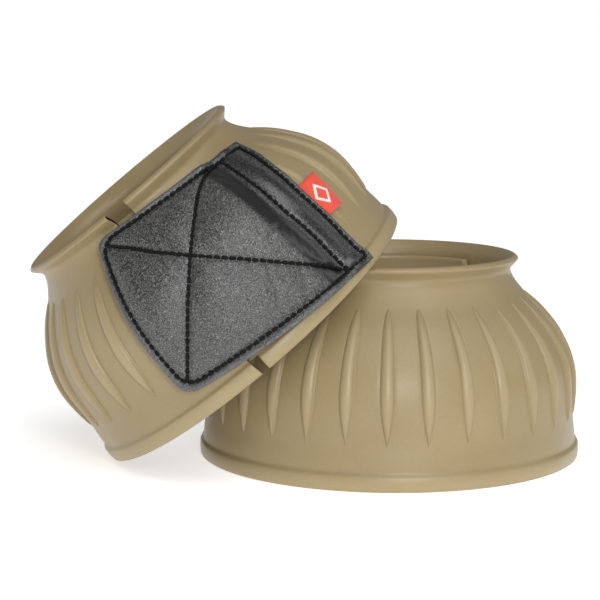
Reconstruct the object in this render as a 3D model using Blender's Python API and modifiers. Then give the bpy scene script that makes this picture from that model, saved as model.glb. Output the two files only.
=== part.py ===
"""A pair of ribbed rubber bell boots: one stands on its base, the other leans on it.

Each boot is a moulded bell, split down one side. An inner flap lies inside the split, an outer
padded flap lies over it, and the bell's loose end is gripped between them by hook and loop.

Boot frame: +Z up the bell from the base, the split faces -Y, and angles run round from the split,
positive on the side that carries the flaps. The two boots are mirror images of each other.
All lengths are in metres and all angles in degrees.
"""
import math
from collections import namedtuple

import bmesh
import bpy
from mathutils import Euler, Matrix, Vector

# Bell: inner wall, as (height, radius) points of a smooth curve
BELL_HEIGHT = 0.0975
INNER_WALL = ((0.0, 0.0870), (0.0105, 0.0870), (0.020, 0.0860), (0.039, 0.0853), (0.049, 0.0830),
              (0.058, 0.0788), (0.068, 0.0714), (0.078, 0.0618), (0.086, 0.0561), (0.092, 0.0552),
              (BELL_HEIGHT, 0.0598))
WALL = 0.0032
BASE_BAND_WALL = 0.0050
BASE_BAND_TOP = 0.0075
BASE_BAND_STEP = 0.0010
BASE_BAND_FADE = 0.0045
# Heights of the rows of points that every layer of a boot shares, so that the layers stay parallel
SHARED_ROWS = (0.025, 0.042, 0.055, 0.067, 0.078, 0.0855, 0.090)
SHELL_ROWS = (0.0, BASE_BAND_TOP, BASE_BAND_TOP + BASE_BAND_STEP) + SHARED_ROWS + (BELL_HEIGHT,)
ROW_CLEARANCE = 0.0012

# Ribs
RIB_PITCH = 12.0
RIB_HALF_WIDTH = 2.3
RIB_HEIGHT = 0.0018
RIB_LOW = 0.0205
RIB_TOP = 0.0765

# The split at the front, and the line at the back where the bell flexes
FLAP_SIDE_EDGE_LOW = 3.2
FLAP_SIDE_EDGE_TOP = 1.0
LOOP_SIDE_EDGE_LOW = 0.8
LOOP_SIDE_EDGE_TOP = -9.5
FLEX_ANGLE = 192.0
FLEX_GAP = 0.25
FIRST_FLAP_SIDE_RIB = 66.0
FIRST_LOOP_SIDE_RIB = -30.0
FLAP_SIDE_RIBS = 11
LOOP_SIDE_RIBS = 12
# Plain columns of points between the split and the first ribs
PLAIN_FIRST = 8.0
PLAIN_STEP = 6.0
PLAIN_COUNT = 9
BESIDE_PANEL = -23.0

# Layers of the closure, from the wall outwards: where each starts above the wall, and how thick it is
Layer = namedtuple("Layer", "start thickness")
LOOP_LAYER = Layer(0.0003, 0.0007)
HOOK_LAYER = Layer(0.0013, 0.0006)
LINING_LAYER = Layer(0.0024, 0.0004)
FOAM_LAYER = Layer(0.0033, 0.0011)
FACE_LAYER = Layer(0.0049, 0.0008)
BAND_LAYER = Layer(0.0007, 0.0033)
TAG_LAYER = Layer(0.0004, 0.0009)
# The same inwards, measured from the inner wall down to the layer's innermost face
INNER_LOOP_LAYER = Layer(-0.0010, 0.0007)
INNER_HOOK_LAYER = Layer(-0.0020, 0.0007)
INNER_FLAP_LAYER = Layer(-0.0043, 0.0020)
INNER_ROOT_LAYER = Layer(-0.0043, 0.0040)

# Outer flap
FLAP_FREE_ANGLE = -20.0
FLAP_HINGE_ANGLE = 38.0
FLAP_HINGE_GAP = 0.3
FLAP_LOW = 0.0130
FLAP_HIGH = 0.0885
FLAP_DROP_LOW = 0.00014
FLAP_DROP_HIGH = 0.00012
FLAP_CORNER = 0.008
CORNER_ROWS = (0.0015, 0.0050, 0.0085)
BAND_WIDTH = 0.0175
INNER_ROW = 0.0020
OUTER_ROW_START = 0.0050
BAND_END_ROWS = (0.0015, 0.0032, 0.0050)
HEM_INSET = 0.0035
HEM_STOPS = 8
PANEL_EDGE = -18.5
PANEL_MARGIN = 1.0
PANEL_HEIGHTS = (0.018, 0.0855)
HOOK_EDGE = -4.0
HOOK_HEIGHTS = (0.020, 0.0845)
THREAD_RADIUS = 0.0005
THREAD_LIFT = 0.0010
CROSS_CLEARANCE = 0.0030
CROSSING = (7.2, 0.0575)
CROSS_STOPS = 15
CROSS_ENDS = (0.04, 0.96)
CROSS_HUMP = 0.0016
CROSS_HUMP_REACH = 7.0

# Woven tag under the sewn edge
TAG_LOW = 0.0405
TAG_HIGH = 0.0580
TAG_WIDTH = 0.012
TAG_GAP = 0.0006

# Inner flap
INNER_FLAP_FREE_ANGLE = -22.0
INNER_FLAP_HINGE_ANGLE = 8.0
INNER_FLAP_ROOT_ANGLE = 52.0
INNER_FLAP_LOW = 0.0070
INNER_FLAP_HIGH = 0.0900

# Hinge lines
HINGE_CLEARANCE = 0.0003
SHELL_HINGE_HEIGHTS = (BASE_BAND_TOP, 0.053)

# Where the boots are: the angle that each leans at, the way it leans, and its turn round its own axis.
# The leaning one is fastened tighter, so it is slimmer, and a little lower.
Boot = namedtuple("Boot", "name hand girth tall place lean turn spin")
STANDING = Boot("standing", -1, 1.0, 1.0, Vector((0.0400, 0.0025, 0.0)), 0.0, 183.0, 0.0)
LEANING = Boot("leaning", 1, 0.971, 0.982, Vector((-0.0253, -0.0047, 0.0576)), -40.0, 6.2, -3.8)

Body = namedtuple("Body", "empty origin")


def smooth(share):
    """Ease from 0 to 1."""
    share = min(max(share, 0.0), 1.0)
    return share * share * (3.0 - 2.0 * share)


def inner_wall(height):
    """Radius and slope of the inner wall: upright behind the base band, and a cubic through its points above."""
    if height <= BASE_BAND_TOP:
        return INNER_WALL[0][1], 0.0
    last = len(INNER_WALL) - 1
    slopes = []
    for i in range(last + 1):
        before, after = INNER_WALL[max(i - 1, 0)], INNER_WALL[min(i + 1, last)]
        slopes.append((after[1] - before[1]) / (after[0] - before[0]))
    slopes[0] = 0.0
    i = max(k for k in range(last) if INNER_WALL[k][0] <= max(height, 0.0))
    (h0, r0), (h1, r1) = INNER_WALL[i], INNER_WALL[i + 1]
    span = h1 - h0
    t = (height - h0) / span
    m0, m1 = slopes[i] * span, slopes[i + 1] * span
    radius = (2*t**3 - 3*t**2 + 1) * r0 + (3*t**2 - 2*t**3) * r1
    radius += (t**3 - 2*t**2 + t) * m0 + (t**3 - t**2) * m1
    slope = (6*t**2 - 6*t) * (r0 - r1) + (3*t**2 - 4*t + 1) * m0 + (3*t**2 - 2*t) * m1
    return radius, slope / span


def wall_thickness(angle, height):
    """Thickness of the moulding, ribs included."""
    if height <= BASE_BAND_TOP:
        return BASE_BAND_WALL
    if RIB_LOW < height < RIB_TOP and is_rib_crest(angle):
        return WALL + RIB_HEIGHT * math.sin(math.pi * (height - RIB_LOW) / (RIB_TOP - RIB_LOW))
    return WALL


def is_rib_crest(angle):
    """True on the middle line of a rib."""
    between = (angle / RIB_PITCH - 0.5) % 1.0
    on_side = angle >= FIRST_FLAP_SIDE_RIB - 1.0 or angle <= FIRST_LOOP_SIDE_RIB + 1.0
    return on_side and min(between, 1.0 - between) < 0.01


def outer_skin(height):
    """Smooth height of the outside above the inner wall, which the flaps lie on."""
    band = smooth((BASE_BAND_TOP + BASE_BAND_FADE - height) / BASE_BAND_FADE)
    return WALL + (BASE_BAND_WALL - WALL) * band


def bell_point(boot, angle, height, offset):
    """A point at an offset from the inner wall, square to it."""
    radius, slope = inner_wall(height)
    radius, slope = radius * boot.girth, slope * boot.girth
    length = math.hypot(1.0, slope)
    out, up = offset / length, -slope * offset / length
    turn, reach = math.radians(angle) * boot.hand, radius + out
    return Vector((reach * math.sin(turn), -reach * math.cos(turn), (height + up) * boot.tall))


def degrees_for(boot, length, height):
    """The angle that a length takes up round the bell at a height."""
    return math.degrees(length / (inner_wall(height)[0] * boot.girth + WALL))


def make_material(name, colour, roughness):
    """A plain Principled material."""
    material = bpy.data.materials.new(name)
    material.use_nodes = True
    shader = material.node_tree.nodes["Principled BSDF"]
    shader.inputs["Base Color"].default_value = (*colour, 1.0)
    shader.inputs["Roughness"].default_value = roughness
    shader.inputs["Metallic"].default_value = 0.0
    material.diffuse_color = (*colour, 1.0)
    return material


def add_to_body(name, data, body, material):
    """Put a mesh or a curve in the scene, on a body."""
    data.materials.append(material)
    piece = bpy.data.objects.new(name, data)
    parts.objects.link(piece)
    piece.parent = body.empty
    return piece


def mapped_grid(boot, columns, rows, place):
    """A grid laid on the bell: place gives the point of each column and row, facing outwards."""
    mesh = bmesh.new()
    bmesh.ops.create_grid(mesh, x_segments=columns - 1, y_segments=rows - 1, size=1.0)
    cells = {}
    for vertex in mesh.verts:
        column = round((vertex.co.x + 1.0) / 2.0 * (columns - 1))
        row = round((vertex.co.y + 1.0) / 2.0 * (rows - 1))
        cells[vertex.index] = (column, row)
        vertex.co = place(column, row)
    if boot.hand < 0:
        bmesh.ops.reverse_faces(mesh, faces=mesh.faces[:])
    return mesh, cells


def rows_between(low, high, corner=()):
    """Row heights from low to high: the shared ones, and extra ones near the ends for a rounded corner."""
    ends = [low] + [low + step for step in corner] + [high - step for step in corner] + [high]
    inside = [row for row in SHARED_ROWS if low < row < high]
    clear = [row for row in inside if min(abs(row - end) for end in ends) > ROW_CLEARANCE]
    return sorted(ends + clear)


def sheet(name, boot, body, layer, material, columns, levels, limits, skin=None):
    """One layer of the closure: a curved sheet within its limits, with its thickness outwards."""

    def place(column, row):
        angle, height = limits(column / (columns - 1), levels[row])
        above = skin(height) if skin else 0.0
        return bell_point(boot, angle, height, above + layer.start) - body.origin

    mesh, _ = mapped_grid(boot, columns, len(levels), place)
    data = bpy.data.meshes.new(name)
    mesh.to_mesh(data)
    mesh.free()
    piece = add_to_body(name, data, body, material)
    solidify = piece.modifiers.new("thickness", "SOLIDIFY")
    solidify.thickness = layer.thickness
    solidify.offset = 1.0
    return piece


def shell_half(name, boot, body, angles, material):
    """One side of the bell: the smooth inner wall, thickened outwards to the ribs and the base band."""
    columns, rows = len(angles), len(SHELL_ROWS)

    def angle_at(column, height):
        angle = angles[column]
        return angle(height) if callable(angle) else angle

    def place(column, row):
        height = SHELL_ROWS[row]
        return bell_point(boot, angle_at(column, height), height, 0.0) - body.origin

    mesh, cells = mapped_grid(boot, columns, rows, place)
    data = bpy.data.meshes.new(name)
    mesh.to_mesh(data)
    mesh.free()
    piece = add_to_body(name, data, body, material)
    thickness = piece.vertex_groups.new(name="thickness")
    for index, (column, row) in cells.items():
        height = SHELL_ROWS[row]
        share = wall_thickness(angle_at(column, height), height) / BASE_BAND_WALL
        thickness.add([index], share, "REPLACE")
    solidify = piece.modifiers.new("thickness", "SOLIDIFY")
    solidify.thickness = BASE_BAND_WALL
    solidify.offset = 1.0
    solidify.vertex_group = "thickness"
    return piece


def thread(name, boot, body, stops, lift, material):
    """A row of stitching as a round thread through (angle, height, extra lift) stops."""
    curve = bpy.data.curves.new(name, "CURVE")
    curve.dimensions = "3D"
    curve.bevel_depth = THREAD_RADIUS
    curve.bevel_resolution = 1
    curve.use_fill_caps = True
    spline = curve.splines.new("POLY")
    spline.points.add(len(stops) - 1)
    for point, (angle, height, extra) in zip(spline.points, stops):
        offset = outer_skin(height) + lift + extra
        point.co = (*(bell_point(boot, angle, height, offset) - body.origin), 1.0)
    return add_to_body(name, curve, body, material)


def cross_row(start, end, hump=0.0):
    """Stops of a row between two (angle, height) ends that bends through the crossing, with a hump there."""
    first = (CROSSING[1] - start[1]) / (CROSSING[0] - start[0])
    second = (end[1] - CROSSING[1]) / (end[0] - CROSSING[0])
    bend = (second - first) / (end[0] - start[0])
    stops = []
    for i in range(CROSS_STOPS):
        angle = start[0] + (end[0] - start[0]) * i / (CROSS_STOPS - 1)
        height = start[1] + first * (angle - start[0]) + bend * (angle - start[0]) * (angle - CROSSING[0])
        stops.append((angle, height, hump * max(0.0, 1.0 - abs(angle - CROSSING[0]) / CROSS_HUMP_REACH)))
    return stops


def dropped(angle, level):
    """The height of a level of the outer flap, whose edges drop towards the sewn side."""
    share = (level - FLAP_LOW) / (FLAP_HIGH - FLAP_LOW)
    return level - (FLAP_DROP_LOW + (FLAP_DROP_HIGH - FLAP_DROP_LOW) * share) * (angle - FLAP_FREE_ANGLE)


def corner_inset(distance, radius):
    """How far a rounded corner draws the edge in, at a distance from the end of that edge."""
    missing = max(radius - distance, 0.0)
    return radius - math.sqrt(radius**2 - missing**2)


def flap_limits(boot, inset):
    """The outer flap's own outline, drawn in by an inset, with two rounded free corners."""
    free = FLAP_FREE_ANGLE + degrees_for(boot, inset, 0.04)
    hinge = FLAP_HINGE_ANGLE - FLAP_HINGE_GAP

    def limits(across, level):
        ends = min(level - FLAP_LOW - inset, FLAP_HIGH - inset - level)
        left = free + degrees_for(boot, corner_inset(ends, FLAP_CORNER), level)
        angle = left + (hinge - left) * across
        return angle, dropped(angle, level)

    return limits


def flap_levels(inset):
    """Rows of the outer flap's layers."""
    return rows_between(FLAP_LOW + inset, FLAP_HIGH - inset, CORNER_ROWS)


def patch(left, right):
    """A plain patch between two angles. Each may be a function of height."""
    def limits(across, level):
        start = left(level) if callable(left) else left
        end = right(level) if callable(right) else right
        return start + (end - start) * across, level

    return limits


def hinge_line(boot, angle, surface, low, high, side):
    """A straight line along the bell that its wall stays clear of, on the outer (+1) or inner (-1) side."""
    bottom = bell_point(boot, angle, low, surface(low))
    top = bell_point(boot, angle, high, surface(high))
    along = (top - bottom).normalized()
    turn = math.radians(angle) * boot.hand
    radial = Vector((math.sin(turn), -math.cos(turn), 0.0))
    outward = (radial - along * radial.dot(along)).normalized()
    reach = 0.0
    for step in range(41):
        height = low + (high - low) * step / 40
        reach = max(reach, side * (bell_point(boot, angle, height, surface(height)) - bottom).dot(outward))
    return bottom + outward * side * (reach + HINGE_CLEARANCE), along


def hinges(boot):
    """The three hinge lines of a boot, each a point and a direction in the boot's frame."""
    face_top = FACE_LAYER.start + FACE_LAYER.thickness
    low, high = dropped(FLAP_HINGE_ANGLE, FLAP_LOW), dropped(FLAP_HINGE_ANGLE, FLAP_HIGH)
    return {
        "shell": hinge_line(boot, FLEX_ANGLE, lambda h: wall_thickness(0.0, h), *SHELL_HINGE_HEIGHTS, 1),
        "outer_flap": hinge_line(boot, FLAP_HINGE_ANGLE, lambda h: outer_skin(h) + face_top, low, high, 1),
        "inner_flap": hinge_line(boot, INNER_FLAP_HINGE_ANGLE, lambda h: INNER_FLAP_LAYER.start,
                                 INNER_FLAP_LOW, INNER_FLAP_HIGH, -1),
    }


def add_body(name, boot, parent, origin):
    """An empty on a body's joint axis, under its parent body's empty."""
    empty = bpy.data.objects.new(f"{boot.name}_{name}_axis", None)
    empty.empty_display_size = 0.02
    parts.objects.link(empty)
    empty.parent = parent.empty
    empty.location = origin - parent.origin
    return Body(empty, origin)


def rib_columns(first, step, count):
    """The angles of the columns that make a row of ribs: foot, crest and foot of each."""
    angles = []
    for i in range(count):
        crest = first + step * i
        angles += [crest - RIB_HALF_WIDTH, crest, crest + RIB_HALF_WIDTH]
    return sorted(angles)


def loop_side_edge(height):
    """The loop side's cut edge, which stands further back towards the mouth."""
    return LOOP_SIDE_EDGE_LOW + (LOOP_SIDE_EDGE_TOP - LOOP_SIDE_EDGE_LOW) * height / BELL_HEIGHT


def flap_side_edge(height):
    """The flap side's cut edge."""
    return FLAP_SIDE_EDGE_LOW + (FLAP_SIDE_EDGE_TOP - FLAP_SIDE_EDGE_LOW) * height / BELL_HEIGHT


def towards_edge(share):
    """A column that stands at a share of the way from the last rib to the loop side's cut edge."""
    return lambda height: PANEL_EDGE + (loop_side_edge(height) - PANEL_EDGE) * share


def build_shell(boot, loop_side, flap_side, rubber):
    """The bell, in two halves that meet where it flexes."""
    plain = [flap_side_edge] + [PLAIN_FIRST + PLAIN_STEP * i for i in range(PLAIN_COUNT)]
    ribs = rib_columns(FIRST_FLAP_SIDE_RIB, RIB_PITCH, FLAP_SIDE_RIBS)
    angles = plain + ribs + [FLEX_ANGLE - FLEX_GAP]
    shell_half(f"{boot.name}_shell_flap_half", boot, flap_side, angles, rubber)
    ribs = rib_columns(FIRST_LOOP_SIDE_RIB, -RIB_PITCH, LOOP_SIDE_RIBS)
    edge = [BESIDE_PANEL, PANEL_EDGE, towards_edge(1 / 3), towards_edge(2 / 3), towards_edge(1.0)]
    angles = [FLEX_ANGLE - 360.0 + FLEX_GAP] + ribs + edge
    shell_half(f"{boot.name}_shell_loop_half", boot, loop_side, angles, rubber)


def build_loop_panels(boot, loop_side, pile):
    """The two loop panels on the loose end of the bell."""
    limits = patch(PANEL_EDGE, lambda height: loop_side_edge(height) - PANEL_MARGIN)
    levels = rows_between(*PANEL_HEIGHTS)
    sheet(f"{boot.name}_outer_loop_panel", boot, loop_side, LOOP_LAYER, pile, 4, levels, limits, outer_skin)
    sheet(f"{boot.name}_inner_loop_panel", boot, loop_side, INNER_LOOP_LAYER, pile, 4, levels, limits)


def build_outer_flap(boot, outer_flap, leather, foam, lining, pile, cotton):
    """The padded flap that closes over the split."""
    sheet(f"{boot.name}_outer_flap_face", boot, outer_flap, FACE_LAYER, leather, 10,
          flap_levels(0.0), flap_limits(boot, 0.0), outer_skin)
    sheet(f"{boot.name}_outer_flap_foam", boot, outer_flap, FOAM_LAYER, foam, 10,
          flap_levels(HEM_INSET), flap_limits(boot, HEM_INSET), outer_skin)
    sheet(f"{boot.name}_outer_flap_lining", boot, outer_flap, LINING_LAYER, lining, 10,
          flap_levels(0.0), flap_limits(boot, 0.0), outer_skin)
    sheet(f"{boot.name}_outer_flap_hook_panel", boot, outer_flap, HOOK_LAYER, pile, 4,
          rows_between(*HOOK_HEIGHTS), patch(PANEL_EDGE, HOOK_EDGE), outer_skin)

    lift = FACE_LAYER.start + THREAD_LIFT + FACE_LAYER.thickness
    side = flap_limits(boot, HEM_INSET)
    low, high = FLAP_LOW + HEM_INSET, FLAP_HIGH - HEM_INSET
    shares = [(i + 1) / HEM_STOPS for i in range(HEM_STOPS)]
    hem = [side(share, high) for share in reversed(shares)]
    hem += [side(0.0, level) for level in reversed(flap_levels(HEM_INSET))]
    hem += [side(share, low) for share in shares]
    hem = [(*stop, 0.0) for stop in hem]
    thread(f"{boot.name}_outer_flap_hem_thread", boot, outer_flap, hem, lift, cotton)
    near, far = CROSS_ENDS
    falling = cross_row(side(near, high - CROSS_CLEARANCE), side(far, low + CROSS_CLEARANCE))
    rising = cross_row(side(near, low + CROSS_CLEARANCE), side(far, high - CROSS_CLEARANCE), CROSS_HUMP)
    thread(f"{boot.name}_outer_flap_cross_thread_a", boot, outer_flap, falling, lift, cotton)
    thread(f"{boot.name}_outer_flap_cross_thread_b", boot, outer_flap, rising, lift, cotton)


def beside_hinge(boot, distance, level):
    """The place at a distance past the outer flap's hinge, along its slanting outline."""
    angle = FLAP_HINGE_ANGLE + FLAP_HINGE_GAP + degrees_for(boot, distance, level)
    return angle, dropped(angle, level)


def build_anchor_band(boot, flap_side, leather, cotton, ribbon):
    """The sewn-down edge of the outer flap, its two rows of stitching and the tag under it."""
    def limits(across, level):
        return beside_hinge(boot, BAND_WIDTH * across, level)

    sheet(f"{boot.name}_anchor_band", boot, flap_side, BAND_LAYER, leather, 4,
          rows_between(FLAP_LOW, FLAP_HIGH, BAND_END_ROWS), limits, outer_skin)

    lift = BAND_LAYER.start + BAND_LAYER.thickness + THREAD_LIFT
    across_row, across_near = INNER_ROW / BAND_WIDTH, OUTER_ROW_START / BAND_WIDTH
    across_far = 1.0 - HEM_INSET / BAND_WIDTH
    levels = rows_between(FLAP_LOW + HEM_INSET, FLAP_HIGH - HEM_INSET)
    inner = [(*limits(across_row, level), 0.0) for level in levels]
    thread(f"{boot.name}_anchor_thread_inner", boot, flap_side, inner, lift, cotton)
    outer = [(*limits(across_far, level), 0.0) for level in levels]
    outer = [(*limits(across_near, levels[0]), 0.0)] + outer + [(*limits(across_near, levels[-1]), 0.0)]
    thread(f"{boot.name}_anchor_thread_outer", boot, flap_side, outer, lift, cotton)

    def tag_limits(across, level):
        return beside_hinge(boot, BAND_WIDTH + TAG_GAP + TAG_WIDTH * across, level)

    sheet(f"{boot.name}_tag", boot, flap_side, TAG_LAYER, ribbon, 4, rows_between(TAG_LOW, TAG_HIGH),
          tag_limits, outer_skin)


def build_inner_flap(boot, flap_side, inner_flap, rubber, pile):
    """The rubber flap inside the split: a sewn root, and the end that bends inwards."""
    levels = rows_between(INNER_FLAP_LOW, INNER_FLAP_HIGH)
    root = patch(INNER_FLAP_HINGE_ANGLE + FLAP_HINGE_GAP, INNER_FLAP_ROOT_ANGLE)
    sheet(f"{boot.name}_inner_flap_root", boot, flap_side, INNER_ROOT_LAYER, rubber, 7, levels, root)
    end = patch(INNER_FLAP_FREE_ANGLE, INNER_FLAP_HINGE_ANGLE - FLAP_HINGE_GAP)
    sheet(f"{boot.name}_inner_flap_end", boot, inner_flap, INNER_FLAP_LAYER, rubber, 5, levels, end)
    sheet(f"{boot.name}_inner_flap_hook_panel", boot, inner_flap, INNER_HOOK_LAYER, pile, 4,
          rows_between(*PANEL_HEIGHTS), patch(PANEL_EDGE, HOOK_EDGE))


def build_boot(boot):
    """One boot, on its own frame."""
    rubber = make_material(f"{boot.name}_rubber", (0.43, 0.35, 0.19), 0.55)
    leather = make_material(f"{boot.name}_leather", (0.02, 0.02, 0.021), 0.45)
    foam = make_material(f"{boot.name}_foam", (0.10, 0.10, 0.10), 0.95)
    lining = make_material(f"{boot.name}_lining", (0.03, 0.03, 0.03), 0.9)
    pile = make_material(f"{boot.name}_pile", (0.015, 0.015, 0.015), 1.0)
    cotton = make_material(f"{boot.name}_thread", (0.01, 0.01, 0.01), 0.8)
    ribbon = make_material(f"{boot.name}_ribbon", (0.75, 0.08, 0.04), 0.75)

    frame = bpy.data.objects.new(f"{boot.name}_frame", None)
    frame.empty_display_size = 0.03
    parts.objects.link(frame)
    frame.location = boot.place
    leaning = Euler((0.0, math.radians(boot.lean), math.radians(boot.turn))).to_matrix()
    spin = Matrix.Rotation(math.radians(boot.spin), 3, "Z")
    frame.rotation_euler = (leaning @ spin).to_euler()

    lines = hinges(boot)
    loop_side = Body(frame, Vector((0.0, 0.0, 0.0)))
    flap_side = add_body("flap_side", boot, loop_side, lines["shell"][0])
    outer_flap = add_body("outer_flap", boot, flap_side, lines["outer_flap"][0])
    inner_flap = add_body("inner_flap", boot, flap_side, lines["inner_flap"][0])

    build_shell(boot, loop_side, flap_side, rubber)
    build_loop_panels(boot, loop_side, pile)
    build_outer_flap(boot, outer_flap, leather, foam, lining, pile, cotton)
    build_anchor_band(boot, flap_side, leather, cotton, ribbon)
    build_inner_flap(boot, flap_side, inner_flap, rubber, pile)


for leftover in list(bpy.data.objects):
    bpy.data.objects.remove(leftover, do_unlink=True)
parts = bpy.data.collections.new("bell_boots")
bpy.context.scene.collection.children.link(parts)
for one in (STANDING, LEANING):
    build_boot(one)
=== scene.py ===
"""The looks of a pair of ribbed rubber bell boots: one stands on its base, the other leans on it.

Every shape is laid on the bell by an angle round it, a height up it and an offset from its inner wall.
Angles run round from the split, positive on the side that carries the flaps. The two boots are mirror
images of each other. Lengths are in metres, angles in degrees.
"""
import math
from collections import namedtuple

import bpy
import numpy as np
from mathutils import Euler, Matrix, Vector


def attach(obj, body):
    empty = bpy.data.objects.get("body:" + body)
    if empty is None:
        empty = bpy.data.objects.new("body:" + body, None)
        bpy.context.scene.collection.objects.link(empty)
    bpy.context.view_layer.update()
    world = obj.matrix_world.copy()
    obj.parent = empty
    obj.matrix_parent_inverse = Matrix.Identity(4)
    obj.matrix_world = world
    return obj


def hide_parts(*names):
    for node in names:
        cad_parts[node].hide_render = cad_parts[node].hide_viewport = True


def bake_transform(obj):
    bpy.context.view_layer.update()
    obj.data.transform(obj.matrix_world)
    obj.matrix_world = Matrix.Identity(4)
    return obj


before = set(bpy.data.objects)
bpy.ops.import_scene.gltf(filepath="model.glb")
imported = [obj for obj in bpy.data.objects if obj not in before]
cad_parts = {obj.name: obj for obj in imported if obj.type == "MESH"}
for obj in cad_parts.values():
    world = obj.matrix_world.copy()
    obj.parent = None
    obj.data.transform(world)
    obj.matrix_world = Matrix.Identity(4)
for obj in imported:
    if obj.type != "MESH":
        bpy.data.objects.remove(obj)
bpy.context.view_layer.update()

# The bell: inner wall as (height, radius) points of a smooth curve
INNER_WALL = np.array(((0.0, 0.0870), (0.0105, 0.0870), (0.020, 0.0860), (0.039, 0.0853), (0.049, 0.0830),
                       (0.058, 0.0788), (0.068, 0.0714), (0.078, 0.0618), (0.086, 0.0561), (0.092, 0.0552),
                       (0.0975, 0.0598)))
BELL_HEIGHT = 0.0975
WALL = 0.0032
BAND_WALL = 0.0050
BAND_TOP = 0.0075

# Ribs
RIB_PITCH = 12.0
RIB_HALF_WIDTH = 2.15
RIB_HEIGHT = 0.0024
RIB_LOW = 0.0205
RIB_TOP = 0.0765
RIB_COLUMNS = (0.0, 0.3, 0.55, 0.75, 0.9, 1.0)
WALL_COLUMNS = (0.06, 0.16, 0.35, 0.65)

# The split, the place where the bell is divided in two pieces, and where it flexes
FLAP_SIDE_EDGE = (3.2, 1.0)
LOOP_SIDE_EDGE = (0.8, -9.5)
PLAIN_FLAP_SIDE = 48.0
PLAIN_LOOP_SIDE = -24.0
SEAM = 228.0
EDGE_ROUND = 0.0007

# The outer flap and the band that it is sewn down by
FREE = -20.6
HINGE = 38.0
FLAP_LOW = 0.0130
FLAP_HIGH = 0.0885
FLAP_DROP = (0.00014, 0.00012)
FLAP_CORNER = 0.008
BAND_WIDTH = 0.0175
HEM_INSET = 0.0034
INNER_ROW = 0.0022
OUTER_ROW = 0.0030
CROSSING = (7.2, 0.0575)

# Heights of the flap's and the band's two sides above the bell, and how the pad slopes between them
FACE_LEVEL = 0.0048
FACE_UNDER = 0.0029
BAND_LEVEL = 0.0028
BAND_UNDER = 0.00035
SLOPE = 7.5
PILLOW = 0.0031
PILLOW_REACH = 0.0075
LINING_INSET = 0.0016

# Stitches
STITCH = 0.0034
STITCH_GAP = 0.0003
STITCH_SIDES = 8
STITCH_SINK = 0.00030
THREAD = 0.00076

# The simulated face of the flap
CLOTH_COLUMNS = 62
CLOTH_ROWS = 76
CLOTH_PIN = 0.0007
CLOTH_SCALE = 20.0
CLOTH_PRESSURE = 4.0
CLOTH_FRAMES = 30

# The flap inside the split, the hook and loop panels, and the tag
INNER_FLAP_LOW = 0.0070
INNER_FLAP_HIGH = 0.0900
INNER_FLAP_FREE = -22.0
INNER_FLAP_ROOT = 52.0
INNER_FLAP_UNDER = -0.0043
PANEL_FREE = -18.5
PANEL_END = -4.0
TAG_LOW = 0.0405
TAG_HIGH = 0.0580
TAG_WIDTH = 0.0120
TAG_HALF_THICKNESS = 0.00045

# Light and camera
AMBIENT = 0.20
FLOOR_HALF = 60.0
MIDDLE = (0.0, 0.0, 0.08)
CAMERA_AIM = Vector((-0.0033, 0.0025, 0.0740))
CAMERA_DISTANCE = 0.950
CAMERA_ELEVATION = math.radians(8.0)

Boot = namedtuple("Boot", "name hand girth tall matrix")


def placed(x, y, z, lean, turn, spin):
    """A boot's place, as a matrix: it leans over, in a direction, and is turned round its own axis."""
    leaning = Euler((0.0, math.radians(lean), math.radians(turn))).to_matrix()
    return Matrix.Translation((x, y, z)) @ (leaning @ Matrix.Rotation(math.radians(spin), 3, "Z")).to_4x4()


STANDING = Boot("standing", -1, 1.0, 1.0, placed(0.0400, 0.0025, 0.0, 0.0, 183.0, 0.0))
LEANING = Boot("leaning", 1, 0.971, 0.982, placed(-0.0253, -0.0047, 0.0576, -40.0, 6.2, -3.8))
BOOTS = (STANDING, LEANING)


# ---------------------------------------------------------------- laying shapes on the bell

def ease(share):
    """Ease from 0 to 1."""
    share = np.clip(share, 0.0, 1.0)
    return share * share * (3.0 - 2.0 * share)


def inner_wall(height):
    """Radius and slope of the inner wall."""
    h, r = INNER_WALL[:, 0], INNER_WALL[:, 1]
    slopes = np.empty(len(h))
    slopes[1:-1] = (r[2:] - r[:-2]) / (h[2:] - h[:-2])
    slopes[0], slopes[-1] = 0.0, (r[-1] - r[-2]) / (h[-1] - h[-2])
    height = np.clip(height, 0.0, BELL_HEIGHT)
    i = np.clip(np.searchsorted(h, height, side="right") - 1, 0, len(h) - 2)
    span = h[i + 1] - h[i]
    t = (height - h[i]) / span
    m0, m1 = slopes[i] * span, slopes[i + 1] * span
    radius = (2*t**3 - 3*t**2 + 1) * r[i] + (3*t**2 - 2*t**3) * r[i + 1]
    radius += (t**3 - 2*t**2 + t) * m0 + (t**3 - t**2) * m1
    slope = (6*t**2 - 6*t) * (r[i] - r[i + 1]) + (3*t**2 - 4*t + 1) * m0 + (3*t**2 - 2*t) * m1
    return radius, slope / span


def outer_skin(height):
    """The smooth outside, above the inner wall, that the flaps lie on."""
    return WALL + (BAND_WALL - WALL) * ease((BAND_TOP + 0.0045 - height) / 0.0045)


def lay(boot, angle, height, offset):
    """Points of the bell in the shared frame, each at an offset square to its inner wall."""
    angle, height, offset = np.broadcast_arrays(*(np.asarray(x, float) for x in (angle, height, offset)))
    radius, slope = inner_wall(height)
    radius, slope = radius * boot.girth, slope * boot.girth
    length = np.hypot(1.0, slope)
    out = radius + offset / length
    turn = np.radians(angle) * boot.hand
    up = (height - slope * offset / length) * boot.tall
    local = np.stack([out * np.sin(turn), -out * np.cos(turn), up], -1)
    matrix = np.array(boot.matrix)
    return local @ matrix[:3, :3].T + matrix[:3, 3]


def degrees_for(boot, length, height):
    """The angle that a length takes up round the bell at a height."""
    return np.degrees(length / (inner_wall(height)[0] * boot.girth + WALL))


# ---------------------------------------------------------------- meshes

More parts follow.
